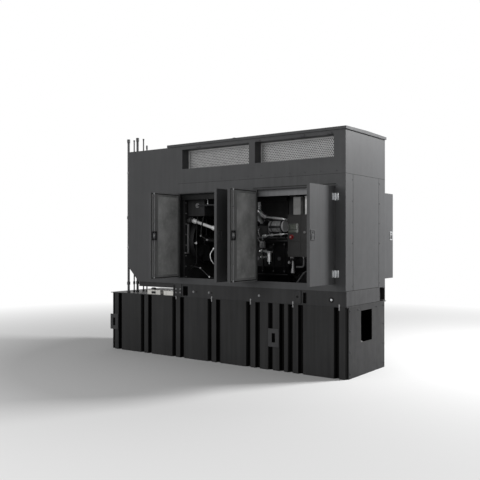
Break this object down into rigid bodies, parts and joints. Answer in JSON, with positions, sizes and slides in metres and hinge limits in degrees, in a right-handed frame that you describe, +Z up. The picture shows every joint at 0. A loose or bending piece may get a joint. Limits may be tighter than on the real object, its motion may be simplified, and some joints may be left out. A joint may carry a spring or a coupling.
{
  "type": "enclosed diesel generator on a fuel tank base",
  "caption": "Diesel generator in a sound enclosure with hinged double doors, a discharge hood and vent screens, on a skid over a tall ribbed fuel tank with a cable window.",
  "frame": {"origin": "centre of the footprint, on the ground", "axes": "+X along the length towards the end with the cable window, -Y to the front with the open doors, +Z up"},
  "size_m": [5.34, 3.051, 4.292],
  "materials": {
    "bright_metal": "polished",
    "cabinet_grey": "satin",
    "cabinet_paint": "satin",
    "control_plastic": "matte",
    "engine_paint": "satin",
    "latch_steel": "satin",
    "pipe_paint": "satin",
    "screen_metal": "satin",
    "skid_paint": "satin",
    "tank_paint": "gloss",
    "wall_paint": "satin",
    "white_box": "satin"
  },
  "bodies": {
    "plant": {"tank_floor": "tank_paint", "tank_top": "tank_paint", "tank_side_walls": "tank_paint", "tank_left_end": "tank_paint", "tank_bulkhead": "tank_paint", "stub_up_panel": "tank_paint", "tank_panels": "tank_paint", "tank_ribs": "tank_paint", "lift_plates": "tank_paint", "fill_box": "white_box", "gauge_box": "white_box", "vent_pipes": "pipe_paint", "skid_rails": "skid_paint", "lifting_eyes": "skid_paint", "skid_end_plate": "skid_paint", "skid_crossmembers": "skid_paint", "hood_sill": "skid_paint", "hood_side_walls": "wall_paint", "door_posts": "wall_paint", "door_sills": "wall_paint", "door_headers": "wall_paint", "upper_walls": "wall_paint", "vent_screens": "screen_metal", "right_end_corners": "wall_paint", "right_end_panel": "wall_paint", "right_end_upper": "wall_paint", "left_end_wall": "wall_paint", "roof_cap": "wall_paint", "hood_grille": "wall_paint", "hinge_plates": "wall_paint", "rear_closed_doors": "wall_paint", "rear_closed_latches": "latch_steel", "engine_block": "engine_paint", "oil_sump": "engine_paint", "engine_head": "engine_paint", "charge_air_pipe": "bright_metal", "coolant_pipe": "engine_paint", "air_cleaner": "engine_paint", "fuel_filter": "engine_paint", "radiator_core": "engine_paint", "radiator_frame": "engine_paint", "header_tank": "engine_paint", "alternator": "engine_paint", "control_cabinet": "cabinet_paint", "cabinet_stand": "cabinet_paint", "control_face": "control_plastic", "charger_box": "cabinet_grey"},
    "front_door_1_left": {"front_door_1_left": "wall_paint", "front_door_1_left_latch": "latch_steel"},
    "front_door_1_right": {"front_door_1_right": "wall_paint", "front_door_1_right_latch": "latch_steel"},
    "front_door_2_left": {"front_door_2_left": "wall_paint", "front_door_2_left_latch": "latch_steel"},
    "front_door_2_right": {"front_door_2_right": "wall_paint", "front_door_2_right_latch": "latch_steel"},
    "rear_door_2_right": {"rear_door_2_right": "wall_paint", "rear_door_2_right_latch": "latch_steel"}
  },
  "joints": [
    {"name": "front_door_1_left_hinge", "type": "hinge", "parent": "plant", "child": "front_door_1_left", "pos_m": [-0.86, -0.752, 2.2765], "axis": [0, 0, 1], "range_deg": [0, 90]},
    {"name": "front_door_1_right_hinge", "type": "hinge", "parent": "plant", "child": "front_door_1_right", "pos_m": [0.705, -0.752, 2.2765], "axis": [0, 0, -1], "range_deg": [0, 90]},
    {"name": "front_door_2_left_hinge", "type": "hinge", "parent": "plant", "child": "front_door_2_left", "pos_m": [0.905, -0.752, 2.2765], "axis": [0, 0, 1], "range_deg": [0, 90]},
    {"name": "front_door_2_right_hinge", "type": "hinge", "parent": "plant", "child": "front_door_2_right", "pos_m": [2.47, -0.752, 2.2765], "axis": [0, 0, -1], "range_deg": [0, 90]},
    {"name": "rear_door_2_right_hinge", "type": "hinge", "parent": "plant", "child": "rear_door_2_right", "pos_m": [2.47, 0.752, 2.2765], "axis": [0, 0, 1], "range_deg": [0, 90]}
  ]
}
